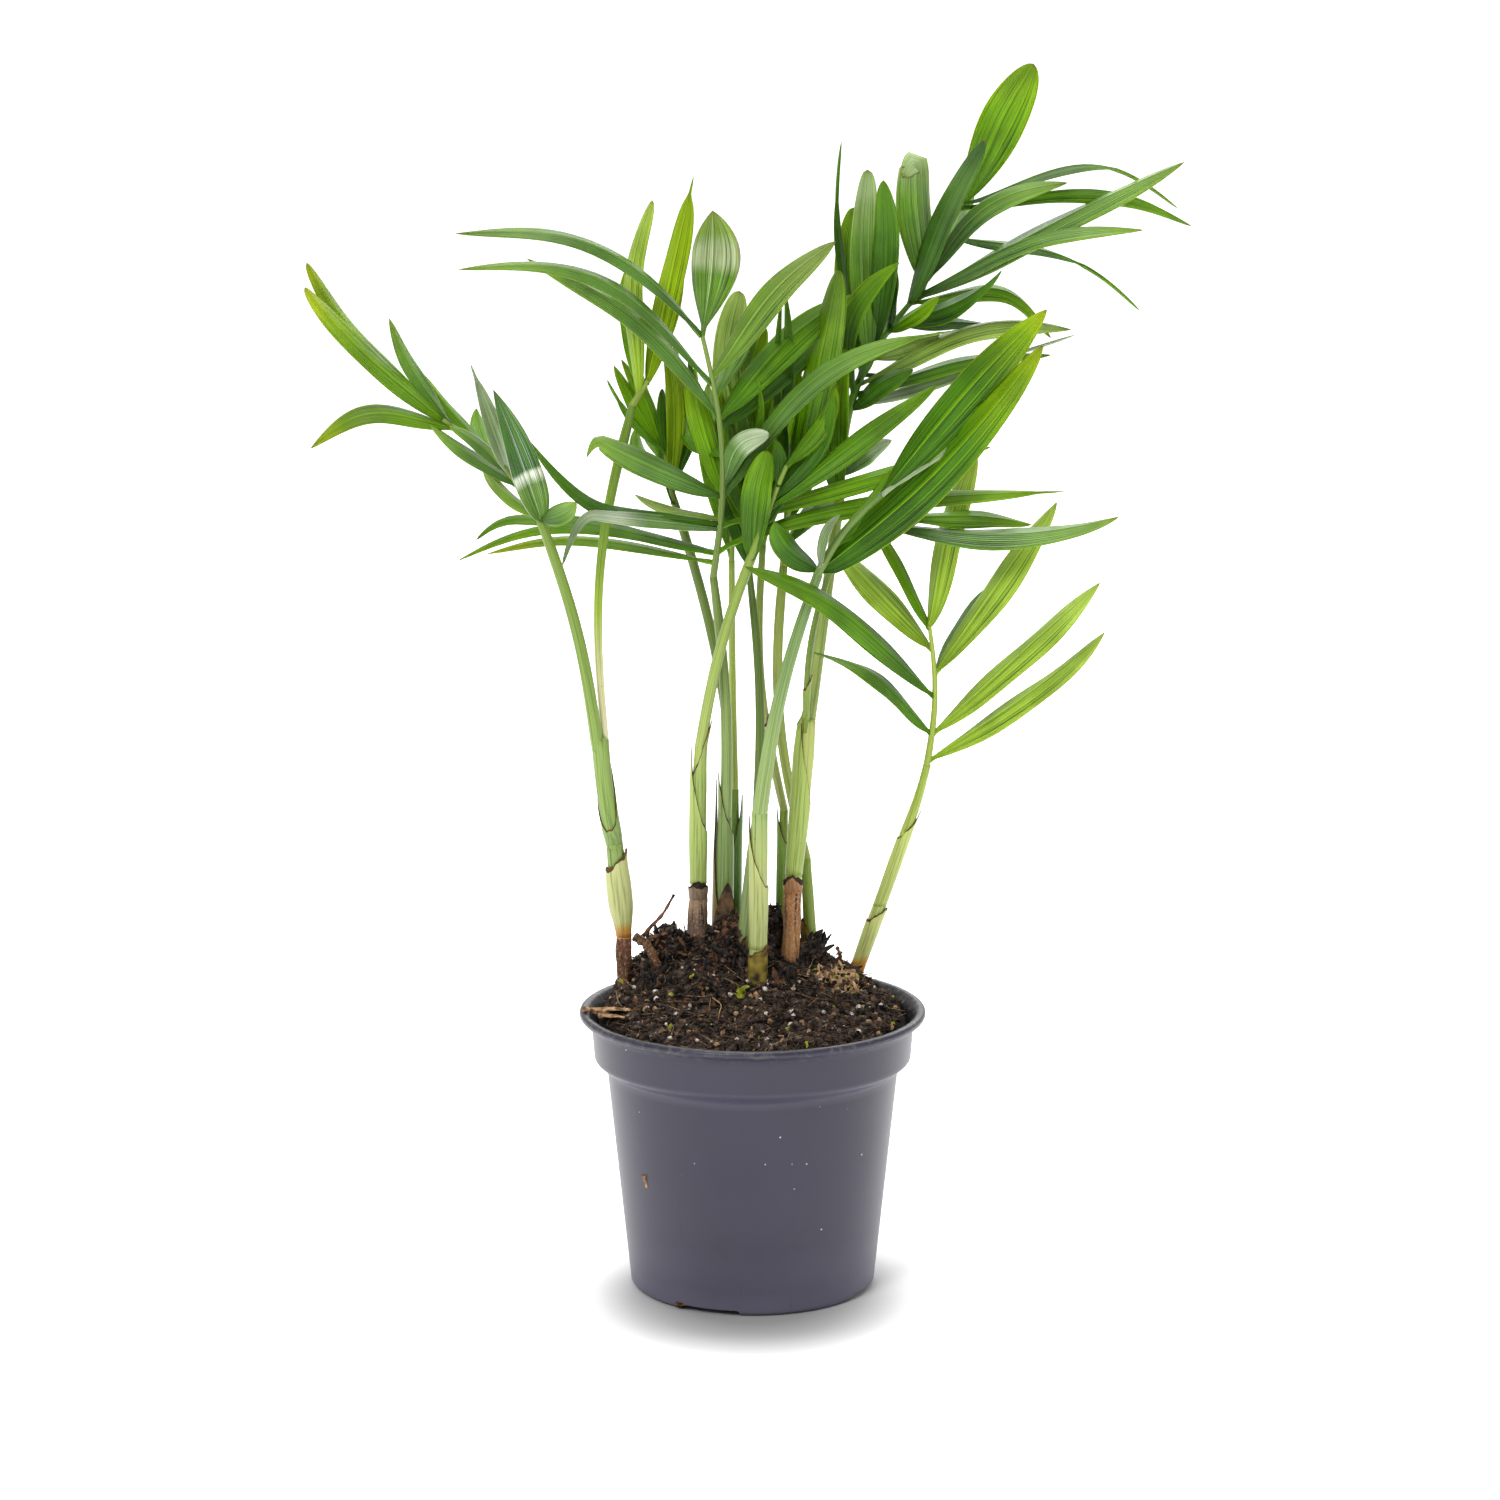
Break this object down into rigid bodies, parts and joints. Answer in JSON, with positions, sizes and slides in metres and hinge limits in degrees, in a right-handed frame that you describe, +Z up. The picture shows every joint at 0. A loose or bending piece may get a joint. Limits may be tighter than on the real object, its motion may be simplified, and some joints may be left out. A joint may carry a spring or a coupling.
{
  "type": "parlour palm",
  "caption": "Young potted parlour palm: slender green canes, arching stalks and feathery fronds of lance-shaped leaflets, rising from peat in a tapered nursery pot.",
  "frame": {"origin": "centre of the pot's flat underside", "axes": "+Z up, +X to the right seen from the front, +Y away to the back"},
  "size_m": [0.3034, 0.1517, 0.4218],
  "materials": {
    "pot": "satin moulded plastic, dark grey-violet",
    "soil": "crumbly dark peat",
    "root": "dry brown bark",
    "husk": "fibrous brown husk",
    "sheath": "pale papery sheath",
    "cane": "smooth green stem",
    "petiole": "smooth green leaf stalk",
    "frond": "soft semi-gloss green leaf"
  },
  "bodies": {
    "root": {"pot": "pot", "soil": "soil", "stilt_root": "root", "cane_left": "sheath", "sheath_left": "cane", "petiole_left": "petiole", "petiole_upright": "petiole", "cane_centre": "cane", "petiole_centre": "petiole", "foot_near": "husk", "cane_near": "cane", "petiole_near": "petiole", "petiole_rear": "petiole", "cane_pale": "cane", "petiole_pale": "petiole", "cane_slim": "cane", "petiole_slim": "petiole", "cane_deep": "cane", "petiole_deep": "petiole", "cane_spear": "cane", "petiole_spear": "petiole", "cane_broad": "cane", "petiole_broad": "petiole", "foot_tall": "husk", "cane_tall": "cane", "petiole_tall": "petiole", "petiole_side": "petiole", "cane_right": "cane", "petiole_right": "petiole", "husk": "husk", "frond_left": "frond", "frond_upright": "frond", "frond_centre": "frond", "frond_near": "frond", "frond_rear": "frond", "frond_pale": "frond", "frond_slim": "frond", "frond_spear": "frond", "frond_broad": "frond", "frond_tall": "frond", "frond_top": "frond", "frond_deep": "frond", "frond_side": "frond", "frond_right": "frond"}
  },
  "joints": []
}
